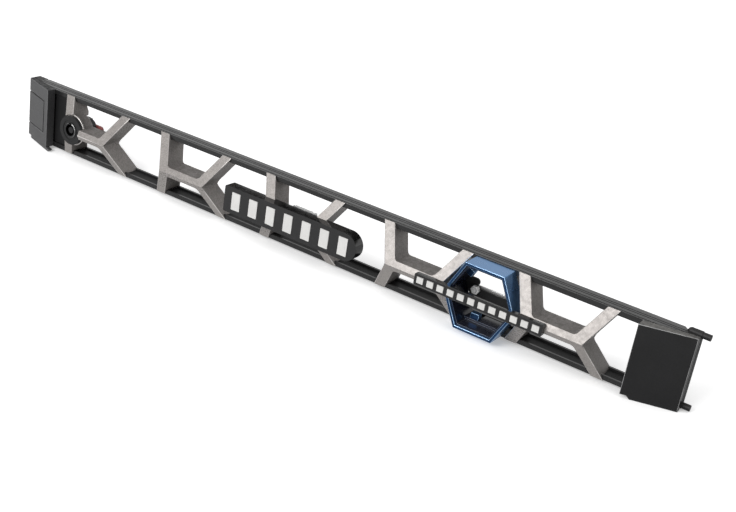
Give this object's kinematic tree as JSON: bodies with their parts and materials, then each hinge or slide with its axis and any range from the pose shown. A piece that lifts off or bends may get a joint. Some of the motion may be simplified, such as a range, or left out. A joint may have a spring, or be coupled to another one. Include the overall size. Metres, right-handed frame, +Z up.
{
  "type": "server front bezel",
  "caption": "Black and silver rack server bezel with honeycomb openings, key lock, release button and a blue hexagon insert",
  "frame": {"origin": "middle of the bezel's length and depth, on the plane that the cap feet and lower peg stand on", "axes": "X runs along the bezel from the release button to the pegs, Y runs from the front to the server, Z is up"},
  "size_m": [0.4846, 0.0264, 0.0439],
  "materials": {
    "rail_black": "satin powder coat on extruded aluminium",
    "casting_silver": "warm silver metallic paint on die casting",
    "base_black": "fine moulded grain",
    "cover_grey": "fine moulded grain",
    "button_grey": "fine moulded grain",
    "cover_black": "fine moulded grain",
    "screw_steel": "zinc plated",
    "latch_steel": "stamped and zinc plated",
    "spring_steel": "bright plated",
    "lock_black": "black zinc casting",
    "lock_dark": "dark nickel plating",
    "liner_black": "smooth moulding",
    "cam_red": "red enamel",
    "badge_black": "smooth moulding",
    "inlay_pale": "plain satin inlay",
    "bracket_metal": "bare folded strip",
    "hex_blue": "smooth dyed moulding"
  },
  "bodies": {
    "frame": {"top_rail": "rail_black", "bottom_rail": "rail_black", "casting_1": "casting_silver", "casting_2": "casting_silver", "casting_3": "casting_silver", "casting_4": "casting_silver", "casting_5": "casting_silver", "left_base": "base_black", "left_cover": "cover_grey", "left_cover_screws": "screw_steel", "latch_spring": "spring_steel", "lock_body": "lock_black", "lock_nut": "lock_black", "badge_block": "badge_black", "badge_inlay": "inlay_pale", "badge_bracket": "bracket_metal", "badge_screws": "screw_steel", "hex_insert": "hex_blue", "hex_liner": "liner_black", "hex_bracket": "base_black", "hex_strap": "bracket_metal", "hex_stud": "spring_steel", "accent_bar": "badge_black", "bar_inlay": "inlay_pale", "right_base": "base_black", "right_cover": "cover_black", "right_cover_screws": "screw_steel"},
    "button": {"release_button": "button_grey"},
    "latch": {"latch_slide": "latch_steel"},
    "lock": {"lock_core": "lock_dark", "lock_cam": "cam_red", "cam_screw": "screw_steel"}
  },
  "joints": [
    {"name": "button_press", "type": "slide", "parent": "frame", "child": "button", "axis": [0, 1, 0], "range_m": [0, 0.0026], "stiffness_N_per_m": 60, "springref_m": -0.001},
    {"name": "latch_travel", "type": "slide", "parent": "frame", "child": "latch", "axis": [1, 0, 0], "range_m": [0, 0.0026], "deforming": ["latch_spring"]},
    {"name": "lock_turn", "type": "hinge", "parent": "frame", "child": "lock", "pos_m": [-0.1872, 0.0018, 0.0218], "axis": [0, 1, 0], "range_deg": [-90, 0]}
  ],
  "couplings": [
    {"joint": "latch_travel", "follows": "button_press", "ratio": 1}
  ]
}
